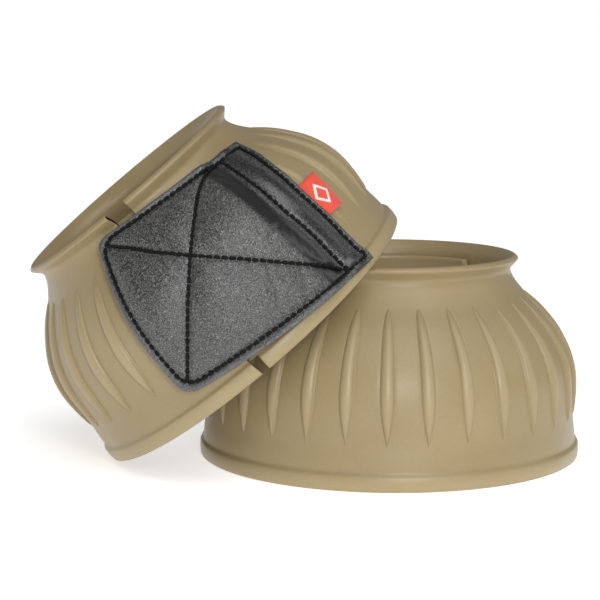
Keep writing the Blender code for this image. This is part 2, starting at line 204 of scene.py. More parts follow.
def piece_from(name, points, faces, material, laid, normals=None):
    """A smooth mesh, with its laid-out coordinates for the materials."""
    mesh = bpy.data.meshes.new(name)
    mesh.from_pydata(np.asarray(points).tolist(), [], faces)
    mesh.validate()
    mesh.shade_smooth()
    attribute = mesh.attributes.new("laid", "FLOAT_VECTOR", "POINT")
    attribute.data.foreach_set("vector", np.asarray(laid, np.float32).ravel())
    if normals is not None:
        mesh.normals_split_custom_set_from_vertices(normals)
    mesh.materials.append(material)
    piece = bpy.data.objects.new(name, mesh)
    bpy.context.scene.collection.objects.link(piece)
    return piece


def grid_faces(columns, rows, flip, wrap_rows=False, start=0):
    """Quads of a grid whose points run row by row within each column."""
    faces = []
    for c in range(columns - 1):
        for r in range(rows if wrap_rows else rows - 1):
            nxt = (r + 1) % rows
            quad = [start + c * rows + r, start + (c + 1) * rows + r,
                    start + (c + 1) * rows + nxt, start + c * rows + nxt]
            faces.append(quad[::-1] if flip else quad)
    return faces


# ---------------------------------------------------------------- the bell

def split_edge(edge, height):
    """The angle of one of the split's two cut edges, each given low down and at the mouth."""
    return edge[0] + (edge[1] - edge[0]) * height / BELL_HEIGHT


def rib_share(height):
    """How far up a rib a height is, from 0 at its lower tip to 1 at its upper one."""
    return np.clip((height - RIB_LOW) / (RIB_TOP - RIB_LOW), 0.0, 1.0)


def rib_width(height):
    """Half the width of a rib, in degrees: a point below, a round end above."""
    s = rib_share(height)
    below = 1.0 - np.clip(1.0 - s / 0.42, 0.0, 1.0) ** 1.9
    above = np.sqrt(np.clip(1.0 - (np.clip(s - 0.72, 0.0, 1.0) / 0.28) ** 2, 0.0, 1.0))
    return RIB_HALF_WIDTH * below * above * (1.0 - 0.08 * ease((s - 0.4) / 0.4))


def mapped_width(height):
    """Half the width that the rib's columns take up, which fans out again past its tips."""
    beyond = np.maximum(RIB_LOW - height, height - RIB_TOP)
    return np.maximum(rib_width(height), 0.12 + 1.5 * ease((beyond + 0.0006) / 0.010))


def rib_rise(height):
    """Height of a rib's crest above the wall."""
    s = rib_share(height)
    return RIB_HEIGHT * np.sin(np.pi * s) ** 0.55 * (1.0 - 0.25 * s)


def between_tips(height):
    """1 beside a rib, 0 past its two tips."""
    return (height > RIB_LOW) & (height < RIB_TOP)


def at_angle(angle):
    """The same angle at every height."""
    return lambda height: np.full_like(height, angle)


def rib_column(crest, sign, on_rib, on_wall, strength):
    """A column at a share of a rib's half width, and then at a share of the wall beside the rib."""
    groove = 0.0
    if on_wall == WALL_COLUMNS[0]:
        groove = 0.00006
    elif on_rib == 1.0 and on_wall == 0.0:
        groove = 0.00012

    def angle_at(height):
        width = mapped_width(height)
        return crest + sign * (width * on_rib + (RIB_PITCH / 2.0 - width) * on_wall)

    def rise_at(height):
        rise = (1.0 - on_rib**2) ** 0.62 * rib_rise(height)
        return strength * (rise - groove * between_tips(height))

    return angle_at, rise_at


def bell_columns():
    """Every column of points round the bell, as (angle at each height, rise above the wall) functions."""
    columns = []

    def plain(angle_at):
        columns.append((angle_at, np.zeros_like))

    def rib(crest, strength=1.0):
        for sign in (-1, 1):
            steps = [(share, 0.0) for share in RIB_COLUMNS if share > 0.0 or sign > 0]
            steps += [(1.0, share) for share in WALL_COLUMNS]
            for on_rib, on_wall in steps[::sign]:
                columns.append(rib_column(crest, sign, on_rib, on_wall, strength))
        plain(at_angle(crest + RIB_PITCH / 2.0))

    for past in (0.0, 0.12, 0.45):
        plain(lambda height, past=past: split_edge(FLAP_SIDE_EDGE, height) + past)
    for angle in np.linspace(FLAP_SIDE_EDGE[0] + 1.5, PLAIN_FLAP_SIDE, 19):
        plain(at_angle(angle))
    crest = PLAIN_FLAP_SIDE + RIB_PITCH / 2.0
    rib(crest, 0.75)
    seam_column = None
    while crest + RIB_PITCH < 360.0 + PLAIN_LOOP_SIDE:
        crest += RIB_PITCH
        rib(crest)
        if abs(crest + RIB_PITCH / 2.0 - SEAM) < 0.01:
            seam_column = len(columns) - 1

    def towards_edge(share):
        def angle_at(height):
            return 360.0 + PLAIN_LOOP_SIDE + (split_edge(LOOP_SIDE_EDGE, height) - PLAIN_LOOP_SIDE) * share
        return angle_at

    for share in [k / 8.0 for k in range(1, 8)] + [0.97, 0.992, 1.0]:
        plain(towards_edge(share))
    return columns, seam_column


def bell_levels():
    """Heights shared by the inner and the outer side of the wall."""
    low = [BAND_TOP - 0.0035, BAND_TOP - 0.0010, BAND_TOP - 0.0002, BAND_TOP + 0.0003, BAND_TOP + 0.0009,
           BAND_TOP + 0.0016, BAND_TOP + 0.0035, BAND_TOP + 0.0060]
    low += list(np.linspace(BAND_TOP + 0.0085, RIB_LOW - 0.0007, 4))
    tip = [RIB_LOW + d for d in (0.0, 0.0008, 0.0018, 0.003, 0.0045, 0.0063, 0.0085, 0.011)]
    middle = list(np.linspace(RIB_LOW + 0.0145, RIB_TOP - 0.0130, 11))
    top = [RIB_TOP - d for d in (0.0100, 0.0075, 0.0052, 0.0034, 0.0020, 0.0010, 0.0003, 0.0)]
    neck = list(np.linspace(RIB_TOP + 0.0012, 0.0932, 8)) + [0.0948, 0.0960, 0.0968]
    return np.array([0.0008, 0.0030] + low + tip + middle + top + neck)


def band_offset(height):
    """The outside of the base band, the groove over it and the plain wall above."""
    points = ((0.0, 0.0045), (0.0008, 0.0048), (0.0030, 0.0050), (BAND_TOP - 0.0035, 0.0050),
              (BAND_TOP - 0.0010, 0.00485), (BAND_TOP - 0.0002, 0.0044), (BAND_TOP + 0.0003, 0.0037),
              (BAND_TOP + 0.0009, 0.0033), (BAND_TOP + 0.0016, 0.0032), (BAND_TOP + 0.0035, WALL))
    return np.interp(height, [p[0] for p in points], [p[1] for p in points])


def end_faces(column, rows, foot_rows, flip):
    """The cut end of the wall at a column, as a strip from its inner side to its outer one."""
    ring = [column * rows + i for i in range(rows)]
    faces = []
    low, high = 0, rows - foot_rows - 1
    while low + 1 < high:
        face = [ring[low], ring[low + 1], ring[high - 1], ring[high]]
        if high - 1 == low + 1:
            face.pop(2)
        faces.append(face[::-1] if flip else face)
        low, high = low + 1, high - 1
    foot = [ring[0], ring[rows - foot_rows - 1], ring[rows - 2], ring[rows - 1]]
    faces.append(foot[::-1] if flip else foot)
    return faces


def whole_normals(points, faces):
    """Smooth normals of the whole bell, which both of its pieces take so that their seam doesn't show."""
    whole = bpy.data.meshes.new("whole")
    whole.from_pydata(points.tolist(), [], faces)
    whole.shade_smooth()
    normals = np.zeros(len(points) * 3, np.float32)
    whole.vertex_normals.foreach_get("vector", normals)
    bpy.data.meshes.remove(whole)
    return normals.reshape(-1, 3)


def build_bell(boot, rubber):
    """The moulded bell, as two smooth pieces whose seam doesn't show."""
    columns, seam_column = bell_columns()
    levels = bell_levels()
    rim = np.array(((0.0973, 0.0002), (BELL_HEIGHT, 0.0009),
                    (BELL_HEIGHT, WALL - 0.0009), (0.0973, WALL - 0.0002)))
    foot = np.array(((0.0001, BAND_WALL - 0.0012), (0.0001, 0.0008)))
    height = np.concatenate([levels, rim[:, 0], levels[::-1], foot[:, 0]])
    rows = len(height)
    points, laid = [], []
    last = len(columns) - 1
    for column, (angle_at, rise_at) in enumerate(columns):
        outer = band_offset(levels) + rise_at(levels)
        offset = np.concatenate([np.zeros_like(levels), rim[:, 1], outer[::-1], foot[:, 1]])
        if column in (0, last):
            middle = WALL / 2.0
            offset = middle + (offset - middle) * (1.0 - EDGE_ROUND / middle)
        angle = angle_at(height)
        points.append(lay(boot, angle, height, offset))
        laid.append(np.stack([np.radians(angle) * 0.085, height, offset], -1))
    points, laid = np.concatenate(points), np.concatenate(laid)
    flip = boot.hand > 0
    faces = grid_faces(len(columns), rows, flip, wrap_rows=True)
    normals = whole_normals(points, faces)

    made = []
    for name, first, final in (("bell_flap_side", 0, seam_column), ("bell_loop_side", seam_column, last)):
        low, high = first * rows, (final + 1) * rows
        part = faces[first * rows:final * rows]
        part = part + end_faces(first, rows, len(foot), not flip) + end_faces(final, rows, len(foot), flip)
        part = [[i - low for i in face] for face in part]
        made.append(piece_from(f"{boot.name}_{name}", points[low:high], part, rubber, laid[low:high],
                               normals[low:high]))
    flap_piece, loop_piece = made
    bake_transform(flap_piece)
    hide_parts(f"{boot.name}_shell_flap_half")
    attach(loop_piece, f"{boot.name}_loop_side")
    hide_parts(f"{boot.name}_shell_loop_half")


# ---------------------------------------------------------------- closed sheets laid on the bell

def closed_sheet(name, boot, angle, height, top, bottom, material):
    """A closed sheet between two offsets, over a grid of angles and heights [column, row]."""
    columns, rows = angle.shape
    angle, height, top, bottom = np.broadcast_arrays(angle, height, top, bottom)
    upper = lay(boot, angle, height, top).reshape(-1, 3)
    lower = lay(boot, angle, height, bottom).reshape(-1, 3)
    reach = np.radians(angle) * (inner_wall(height)[0] * boot.girth + 0.004)
    laid_top = np.stack([reach, height, top], -1).reshape(-1, 3)
    laid_low = np.stack([reach, height + 0.2, bottom], -1).reshape(-1, 3)
    flip = boot.hand < 0
    size = columns * rows
    faces = grid_faces(columns, rows, flip)
    faces += grid_faces(columns, rows, not flip, start=size)
    rim = [(c * rows) for c in range(columns)]
    rim += [(columns - 1) * rows + r for r in range(1, rows)]
    rim += [c * rows + rows - 1 for c in range(columns - 2, -1, -1)]
    rim += [r for r in range(rows - 2, 0, -1)]
    for a, b in zip(rim, rim[1:] + rim[:1]):
        quad = [a, a + size, b + size, b]
        faces.append(quad[::-1] if flip else quad)
    laid = np.concatenate([laid_top, laid_low])
    return piece_from(name, np.concatenate([upper, lower]), faces, material, laid)


def spaced(low, high, step, ends=(0.0, 0.00025, 0.0007, 0.0014, 0.0024)):
    """Values from low to high, close together near both ends."""
    low_end, high_end = [low + e for e in ends], [high - e for e in reversed(ends)]
    count = max(int(round((high_end[0] - low_end[-1]) / step)), 1)
    return np.array(low_end + list(np.linspace(low_end[-1], high_end[0], count + 1)[1:-1]) + high_end)


def grid(across, up):
    """Two arrays over a grid [column, row]."""
    return np.meshgrid(across, up, indexing="ij")


def rounding(distance, radius):
    """Share of its full thickness that a rounded edge has at a distance from its end."""
    missing = np.clip(1.0 - distance / radius, 0.0, 1.0)
    return np.sqrt(1.0 - missing**2)


# ---------------------------------------------------------------- the outer flap

def corner_inset(distance, radius):
    """How far a rounded corner draws the edge in, at a distance from the end of that edge."""
    missing = np.clip(radius - distance, 0.0, None)
    return radius - np.sqrt(np.clip(radius**2 - missing**2, 0.0, None))


def dropped(angle, level):
    """The height of a level of the flap, whose edges drop towards the sewn side."""
    share = (level - FLAP_LOW) / (FLAP_HIGH - FLAP_LOW)
    return level - (FLAP_DROP[0] + (FLAP_DROP[1] - FLAP_DROP[0]) * share) * (angle - FREE)


def sewn_side(height):
    """The angle of the fold beside the inner row, which doesn't run quite straight up the bell."""
    return HINGE + 0.3 + 4.3 * ease((height - 0.060) / 0.028) - 1.7 * np.exp(-((height - 0.047) / 0.014) ** 2)


def flap_place(boot, along, level, inset=0.0):
    """Angle and height at a place in from the free edge: 0 to 1 over the flap, then metres of band past 1."""
    ends = np.minimum(level - FLAP_LOW - inset, FLAP_HIGH - inset - level)
    left = FREE + degrees_for(boot, inset, 0.04) + degrees_for(boot, corner_inset(ends, FLAP_CORNER), level)
    fold = sewn_side(dropped(HINGE, level))
    angle = np.where(along <= 1.0, left + (fold - left) * np.minimum(along, 1.0),
                     fold + degrees_for(boot, (along - 1.0), level))
    return angle, dropped(angle, level)


def crossing_row(start, end, n):
    """A row of stitching from one (angle, height) to another that bends through the crossing."""
    first = (CROSSING[1] - start[1]) / (CROSSING[0] - start[0])
    second = (end[1] - CROSSING[1]) / (end[0] - CROSSING[0])
    angle = np.linspace(start[0], end[0], n)
    bend = (second - first) / (end[0] - start[0]) * (angle - start[0]) * (angle - CROSSING[0])
    return np.stack([angle, start[1] + first * (angle - start[0]) + bend], -1)


def seam_lines(boot):
    """The rows of stitching, each a dense line of (angle, height) points."""
    low, high = FLAP_LOW + HEM_INSET, FLAP_HIGH - HEM_INSET
    row = 1.0 + INNER_ROW

    def place(along, level, inset=HEM_INSET):
        return np.stack(flap_place(boot, np.asarray(along, float), np.asarray(level, float), inset), -1)

    n = 160
    across = np.concatenate([[row], np.linspace(1.0, 0.0, n)])
    turn = np.linspace(0.0, 1.0, n)
    levels = high - (high - low) * (0.5 - 0.5 * np.cos(np.pi * turn))
    hem = np.concatenate([place(across, np.full(n + 1, high)), place(np.zeros(n), levels),
                          place(across[::-1], np.full(n + 1, low))])
    falling = crossing_row(place([0.0], [high - 0.0026])[0], place([row], [low])[0], n)
    rising = crossing_row(place([0.0], [low + 0.0026])[0], place([row], [high])[0], n)
    inner = place(np.full(n, row), np.linspace(high, low, n))
    edge = 1.0 + BAND_WIDTH - OUTER_ROW
    side = place(np.full(n, edge), np.linspace(high, low, n))
    across = np.linspace(row, edge, 40)
    outer = np.concatenate([place(across, np.full(40, high)), side, place(across[::-1], np.full(40, low))])
    return {"hem": hem, "cross_a": falling, "cross_b": rising, "anchor_inner": inner, "anchor_outer": outer}


def along_line(boot, line, offset):
    """Points, outward directions and length along a line of stitching."""
    points = lay(boot, line[:, 0], line[:, 1], offset)
    above = lay(boot, line[:, 0], line[:, 1], offset + 0.001)
    steps = np.linalg.norm(np.diff(points, axis=0), axis=1)
    keep = np.concatenate([[True], steps > 1e-7])
    points, above = points[keep], above[keep]
    length = np.concatenate([[0.0], np.cumsum(np.linalg.norm(np.diff(points, axis=0), axis=1))])
    outward = above - points
    return points, outward / np.linalg.norm(outward, axis=1)[:, None], length


def stitch_row(name, boot, line, offset, cotton):
    """A row of separate stitches: each comes up through the leather, arches over it and goes down again."""
    points, outward, length = along_line(boot, line, offset)
    total = length[-1]
    count = max(int(round(total / STITCH)), 1)
    pitch = total / count
    shares = np.array([0.0, 0.06, 0.2, 0.4, 0.6, 0.8, 0.94, 1.0])
    girths = np.array([0.45, 0.78, 1.0, 1.08, 1.08, 1.0, 0.78, 0.45])
    arch = np.array([-0.00022, -0.00002, 0.00016, 0.00022, 0.00022, 0.00016, -0.00002, -0.00022])
    sides = STITCH_SIDES
    turn = np.arange(sides) * 2.0 * np.pi / sides
    verts, laid, faces = [], [], []
    for i in range(count):
        at = (i + shares) * pitch + STITCH_GAP * (0.5 - shares)
        centre = np.stack([np.interp(at, length, points[:, k]) for k in range(3)], -1)
        up = np.stack([np.interp(at, length, outward[:, k]) for k in range(3)], -1)
        forward = np.gradient(centre, axis=0)
        forward /= np.linalg.norm(forward, axis=1)[:, None]
        side = np.cross(forward, up)
        side /= np.linalg.norm(side, axis=1)[:, None]
        centre = centre + up * arch[:, None]
        start = len(laid)
        for k in range(len(shares)):
            spoke = np.cos(turn)[:, None] * side[k] + np.sin(turn)[:, None] * up[k]
            verts.extend(centre[k] + THREAD * girths[k] * spoke)
            laid.extend(np.stack([turn * THREAD, np.full(sides, at[k]), np.zeros(sides)], -1))
        for k in range(len(shares) - 1):
            for s in range(sides):
                a, b = start + k * sides + s, start + k * sides + (s + 1) % sides
                faces.append([a, b, b + sides, a + sides])
        faces.append([start + s for s in range(sides)][::-1])
        faces.append([start + (len(shares) - 1) * sides + s for s in range(sides)])
    return piece_from(name, np.array(verts), faces, cotton, np.array(laid))


def nearest(points, line):
    """Distance from each point to a line of points."""
    best = np.full(len(points), 1e9)
    for start in range(0, len(line), 64):
        chunk = line[start:start + 64]
        apart = np.linalg.norm(points[:, None, :] - chunk[None, :, :], axis=2)
        best = np.minimum(best, apart.min(axis=1))
    return best


def thick_to_thin(angle, height):
    """1 on the padded flap, 0 on the sewn band: the pad slopes down to the inner row."""
    return 1.0 - ease((angle - sewn_side(height) + SLOPE) / (SLOPE + 0.8))


def face_offset(angle, height):
    """Offset of the leather's outer side, without its pillows."""
    return outer_skin(height) + BAND_LEVEL + (FACE_LEVEL - BAND_LEVEL) * thick_to_thin(angle, height)


def under_offset(angle, height):
    """Offset of the leather's underside."""
    return outer_skin(height) + BAND_UNDER + (FACE_UNDER - BAND_UNDER) * thick_to_thin(angle, height)


def flattened(line):
    """A flap's (angle, height) points laid out flat, in metres."""
    return np.stack([np.radians(line[..., 0]) * 0.088, line[..., 1]], -1)


def inflated_flap():
    """Cloth simulation of the padded face: pinned along its stitching and margins, blown up between them.

    Gives the rise of each point of a regular grid over (share across, level), from 0 to 1.
    """
    shares = np.linspace(0.0, 1.0, CLOTH_COLUMNS)
    levels = np.linspace(FLAP_LOW, FLAP_HIGH, CLOTH_ROWS)
    across, up = grid(shares, levels)
    flat = flattened(np.stack(flap_place(STANDING, across, up), -1)).reshape(-1, 2)
    rows = [flattened(line) for line in seam_lines(STANDING).values()]
    to_row = np.minimum.reduce([nearest(flat, row) for row in rows])
    index = np.arange(len(flat)).reshape(across.shape)
    rim = np.concatenate([index[0], index[-1], index[:, 0], index[:, -1]])
    to_rim = nearest(flat, flat[rim])
    pinned = (to_row < CLOTH_PIN) | (to_rim < HEM_INSET)

    mesh = bpy.data.meshes.new("cloth")
    mesh.from_pydata(np.column_stack([flat, np.zeros(len(flat))]).dot(CLOTH_SCALE).tolist(), [],
                     grid_faces(CLOTH_COLUMNS, CLOTH_ROWS, False))
    cloth = bpy.data.objects.new("cloth", mesh)
    bpy.context.scene.collection.objects.link(cloth)
    group = cloth.vertex_groups.new(name="pins")
    group.add(np.flatnonzero(pinned).tolist(), 1.0, "REPLACE")
    modifier = cloth.modifiers.new("cloth", "CLOTH")
    settings = modifier.settings
    settings.quality, settings.mass, settings.air_damping = 6, 0.3, 4.0
    settings.tension_stiffness = settings.compression_stiffness = 25.0
    settings.shear_stiffness, settings.bending_stiffness = 10.0, 0.6
    settings.vertex_group_mass = "pins"
    settings.shrink_min = -0.03
    settings.use_pressure = True
    settings.uniform_pressure_force = CLOTH_PRESSURE
    settings.effector_weights.gravity = 0.0
    modifier.collision_settings.use_collision = False
    modifier.point_cache.frame_start, modifier.point_cache.frame_end = 1, CLOTH_FRAMES
    for step in range(1, CLOTH_FRAMES + 1):
        bpy.context.scene.frame_set(step)
    settled = cloth.evaluated_get(bpy.context.evaluated_depsgraph_get()).to_mesh()
    places = np.zeros(len(flat) * 3, np.float32)
    settled.vertices.foreach_get("co", places)
    cloth.modifiers.clear()
    bpy.data.objects.remove(cloth)
    bpy.data.meshes.remove(mesh)
    bpy.context.scene.frame_set(1)
    rise = np.abs(places.reshape(-1, 3)[:, 2]).reshape(across.shape)
    return np.clip(rise / np.percentile(rise, 97), 0.0, 1.15)


def swelling(field, along, level, gap):
    """The rise of the padding at places on the flap, from 0 to 1."""
    if field is None:
        return 1.0 - np.exp(-(gap / PILLOW_REACH) ** 1.3 * 1.6)
    c = np.clip(along, 0.0, 1.0) * (CLOTH_COLUMNS - 1)
    r = np.clip((level - FLAP_LOW) / (FLAP_HIGH - FLAP_LOW), 0.0, 1.0) * (CLOTH_ROWS - 1)
    i, j = np.minimum(c.astype(int), CLOTH_COLUMNS - 2), np.minimum(r.astype(int), CLOTH_ROWS - 2)
    c, r = c - i, r - j
    low = field[i, j] * (1.0 - c) + field[i + 1, j] * c
    high = field[i, j + 1] * (1.0 - c) + field[i + 1, j + 1] * c
    return (low * (1.0 - r) + high * r) * (along < 1.0)


def fold(boot, piece):
    """Bake the placement of a piece of the outer flap into its points."""
    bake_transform(piece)


def add_weight(piece, name, values):
    """A value at each point of a closed sheet's upper side, for its material."""
    weight = piece.data.attributes.new(name, "FLOAT", "POINT")
    both_sides = np.concatenate([values.ravel(), np.zeros(values.size)])
    weight.data.foreach_set("value", both_sides.astype(np.float32))


def flap_relief(boot, field, along, level, angle, height, points):
    """How far the leather stands out at each place: pillows, the seams' dip and a pucker at each stitch."""
    rows = [along_line(boot, line, face_offset(*line.T)) for line in seam_lines(boot).values()]
    flat = points.reshape(-1, 3)
    closest = np.minimum.reduce([nearest(flat, row) for row, _, _ in rows]).reshape(angle.shape)
    rim = np.concatenate([points[:, 0], points[-1, :], points[::-1, -1], points[0, ::-1]])
    to_edge = nearest(flat, rim).reshape(angle.shape)
    pad = thick_to_thin(angle, height)
    pillow = PILLOW * swelling(field, along, level, closest) * (0.35 + 0.65 * pad)
    hem = 0.0005 * (1.0 - np.exp(-(closest / 0.0012) ** 2))
    relief = np.where(to_edge < HEM_INSET * 0.98, hem, pillow)
    past_fold = (angle - sewn_side(height)) / degrees_for(boot, 1.0, height)
    relief += np.where(past_fold > INNER_ROW, 0.0010 * np.exp(-((past_fold - 0.0078) / 0.0042) ** 2), 0.0)
    pucker = np.zeros_like(relief)
    for row, _, length in rows:
        count = max(int(round(length[-1] / STITCH)), 1)
        at = np.arange(count + 1) * length[-1] / count
        holes = np.stack([np.interp(at, length, row[:, k]) for k in range(3)], -1)
        to_hole = nearest(flat, holes).reshape(angle.shape)
        pucker = np.maximum(pucker, np.exp(-(to_hole / 0.0010) ** 2))
    relief -= 0.00075 * np.exp(-(closest / 0.0012) ** 2) + 0.00030 * pucker
    return relief, to_edge, past_fold


def build_leather(boot, field, leather):
    """The outer flap's leather with its pillows, and the band that it is sewn down by, as one sheet."""
    shares = spaced(0.0, 1.0, 1.0 / 68.0, (0.0, 0.003, 0.008, 0.016, 0.028))
    shares = np.concatenate([shares[shares < 0.93], np.linspace(0.935, 0.996, 18)])
    band = spaced(0.0, BAND_WIDTH, 0.0009)
    along, level = grid(np.concatenate([shares, 1.0 + band[1:]]), spaced(FLAP_LOW, FLAP_HIGH, 0.0010))
    angle, height = flap_place(boot, along, level)
    face, under = face_offset(angle, height), under_offset(angle, height)
    points = lay(boot, angle, height, face)
    relief, to_edge, past_fold = flap_relief(boot, field, along, level, angle, height, points)
    edge = rounding(to_edge, 0.0017)
    middle = (face + under) / 2.0
    top = middle + (face + relief - middle) * edge
    bottom = middle - (middle - under) * edge
    piece = closed_sheet(f"{boot.name}_outer_flap", boot, angle, height, top, bottom, leather)
    # The margin weight lets the material paint the rim outside the hem paler: a painted highlight on its
    # rounded edge.
    add_weight(piece, "margin", np.clip((HEM_INSET - to_edge) / 0.0012, 0.0, 1.0) * (past_fold < 0.0))
    # The weight below smooths the leather in its material and paints it almost black: painted shade on the
    # slope beside the fold and on the strip between the anchor rows.
    slope, trough = (past_fold + 0.0052) / 0.0052, (past_fold - 0.0075) / 0.0042
    add_weight(piece, "smooth_and_shaded", np.exp(-slope**8) + 0.75 * np.exp(-trough**6))
    fold(boot, piece)
    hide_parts(f"{boot.name}_outer_flap_face", f"{boot.name}_outer_flap_foam",
                f"{boot.name}_anchor_band")


def build_lining(boot, lining):
    """The lining on the outer flap's underside."""
    shares = np.concatenate([np.linspace(0.0, 0.925, 38), np.linspace(0.93, 1.0, 20)])
    levels = np.linspace(FLAP_LOW + LINING_INSET, FLAP_HIGH - LINING_INSET, 42)
    angle, height = flap_place(boot, *grid(shares, levels), LINING_INSET)
    under = under_offset(angle, height)
    name = f"{boot.name}_flap_lining"
    piece = closed_sheet(name, boot, angle, height, under - 0.0001, under - 0.00028, lining)
    fold(boot, piece)
    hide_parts(f"{boot.name}_outer_flap_lining")


def build_stitches(boot, cotton):
    """The five rows of stitching on the outer flap and its band."""
    nodes = {"hem": "outer_flap_hem_thread", "cross_a": "outer_flap_cross_thread_a",
             "cross_b": "outer_flap_cross_thread_b", "anchor_inner": "anchor_thread_inner",
             "anchor_outer": "anchor_thread_outer"}
    for key, line in seam_lines(boot).items():
        offset = face_offset(*line.T) - STITCH_SINK
        row = stitch_row(f"{boot.name}_{key}_stitches", boot, line, offset, cotton)
        fold(boot, row)
        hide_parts(f"{boot.name}_{nodes[key]}")


# ---------------------------------------------------------------- inner flap, panels and tag

def build_inner_flap(boot, rubber):
    """The rubber flap inside the split, one sheet from its sewn root to its loose end."""
    low, high, root, free = INNER_FLAP_LOW, INNER_FLAP_HIGH, INNER_FLAP_ROOT, INNER_FLAP_FREE
    angle, height = grid(spaced(free, root, 1.6, (0.0, 0.15, 0.5, 1.0, 1.6)), spaced(low, high, 0.0022))
    to_side = np.radians(np.minimum(angle - free, root - angle)) * 0.07
    edge = rounding(np.minimum(np.minimum(height - low, high - height), to_side), 0.0011)
    face = -0.0023 + 0.0019 * ease((angle - 9.0) / 8.0)
    middle = (face + INNER_FLAP_UNDER) / 2.0
    top = middle + (face - middle) * edge
    bottom = middle - (middle - INNER_FLAP_UNDER) * edge
    piece = closed_sheet(f"{boot.name}_inner_flap", boot, angle, height, top, bottom, rubber)
    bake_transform(piece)
    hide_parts(f"{boot.name}_inner_flap_end", f"{boot.name}_inner_flap_root")


Panel = namedtuple("Panel", "name node body left right low high base thickness hooked outside")


def build_panel(boot, panel, pile):
    """A hook or loop panel: a backing sheet covered in small tufts."""
    shares, height = grid(np.linspace(0.0, 1.0, 14), spaced(panel.low, panel.high, 0.0030, (0.0, 0.0005)))
    angle = panel.left(height) + (panel.right(height) - panel.left(height)) * shares
    above = outer_skin(height) if panel.outside else 0.0
    face = panel.base + panel.thickness * 0.6
    low_side, high_side = min(panel.base, face), max(panel.base, face)
    name = f"{boot.name}_{panel.name}"
    piece = closed_sheet(name, boot, angle, height, above + high_side, above + low_side, pile)
    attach(piece, f"{boot.name}_{panel.body}")
    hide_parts(f"{boot.name}_{panel.node}")
    verts, faces, laid = tuft_mesh(boot, panel, face)
    tufts = piece_from(name + "_tufts", lay(boot, *verts.T), faces, pile, laid)
    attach(tufts, f"{boot.name}_{panel.body}")


def tuft_mesh(boot, panel, face):
    """Rows of small tapered tufts, each leaning its own way, as (angle, height, offset) points and faces."""
    outward = panel.thickness > 0.0
    sign = 1.0 if outward else -1.0
    tuft_height = abs(panel.thickness) * 0.4
    pitch = 0.0014 if panel.hooked else 0.0011
    half = 0.34 if panel.hooked else 0.48
    turned = (boot.hand < 0) != (not outward)
    corners = ((-1, -1), (1, -1), (1, 1), (-1, 1))
    quads = [(0, 1, 5, 4), (1, 2, 6, 5), (2, 3, 7, 6), (3, 0, 4, 7), (4, 5, 6, 7), (3, 2, 1, 0)]
    verts, faces, laid = [], [], []
    draw = np.random.default_rng(7)
    for r in range(int((panel.high - panel.low - 0.002) / pitch)):
        level = panel.low + 0.001 + pitch * (r + 0.5)
        start, end = panel.left(np.array(level)) + 0.9, panel.right(np.array(level)) - 0.9
        step = float(degrees_for(boot, pitch, level))
        count = max(int((end - start) / step), 1)
        top = (outer_skin(level) if panel.outside else 0.0) + face
        for c in range(count):
            angle = start + (c + 0.5) * (end - start) / count
            if not panel.hooked:
                angle += step * 0.5 * (r % 2)
            lean = draw.uniform(-0.3, 0.3, 2)
            index = len(verts)
            for across, up in corners:
                verts.append((angle + across * half * step, level + up * half * pitch, top - sign * 0.00004))
            for across, up in corners:
                verts.append((angle + (across * half * 0.45 + lean[0]) * step,
                              level + (up * half * 0.45 + lean[1]) * pitch, top + sign * tuft_height))
            laid.extend([(angle * 0.0015, level, 0.0)] * 8)
            faces.extend([[index + i for i in (quad[::-1] if turned else quad)] for quad in quads])
    return np.array(verts, float), faces, laid


def loose_edge(height):
    """The side of the loop panels that runs along the loose end's cut edge."""
    return split_edge(LOOP_SIDE_EDGE, height) - 1.0


def build_panels(boot, loops, hooks):
    """The loop panels on the loose end of the bell, and the hook panels on the two flaps."""
    left, right = at_angle(PANEL_FREE), at_angle(PANEL_END)
    build_panel(boot, Panel("loops_outside", "outer_loop_panel", "loop_side", left, loose_edge,
                            0.018, 0.0855, 0.0002, 0.0007, False, True), loops)
    build_panel(boot, Panel("loops_inside", "inner_loop_panel", "loop_side", left, loose_edge,
                            0.018, 0.0855, -0.0002, -0.0007, False, False), loops)
    build_panel(boot, Panel("hooks_outer_flap", "outer_flap_hook_panel", "outer_flap", left, right,
                            0.020, 0.0845, 0.0020, -0.0007, True, True), hooks)
    build_panel(boot, Panel("hooks_inner_flap", "inner_flap_hook_panel", "inner_flap", left, right,
                            0.018, 0.0855, -0.0021, 0.0008, True, False), hooks)


def build_tag(boot, ribbon):
    """A folded ribbon, sewn in under the band, that lies over the nearest ribs."""
    across, level = grid(np.linspace(-0.0030, TAG_WIDTH, 16), np.linspace(TAG_LOW, TAG_HIGH, 15))
    angle = sewn_side(dropped(HINGE, level)) + degrees_for(boot, BAND_WIDTH + across, level)
    height = dropped(angle, level)
    share = np.clip(across / TAG_WIDTH, 0.0, 1.0)
    lift = 0.0010 + 0.0016 * ease(share * 1.6) + 0.0004 * np.sin(level * 260.0) * share
    middle = outer_skin(height) + lift + TAG_HALF_THICKNESS
    half = TAG_HALF_THICKNESS * rounding(TAG_WIDTH - across, 0.0008)
    piece = closed_sheet(f"{boot.name}_woven_tag", boot, angle, height, middle + half, middle - half, ribbon)
    data = piece.data.attributes["laid"].data
    flat = np.stack([across, level, np.zeros_like(across)], -1).reshape(-1, 3)
    data.foreach_set("vector", np.concatenate([flat, flat]).astype(np.float32).ravel())
    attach(piece, f"{boot.name}_flap_side")
    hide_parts(f"{boot.name}_tag")


# ---------------------------------------------------------------- materials

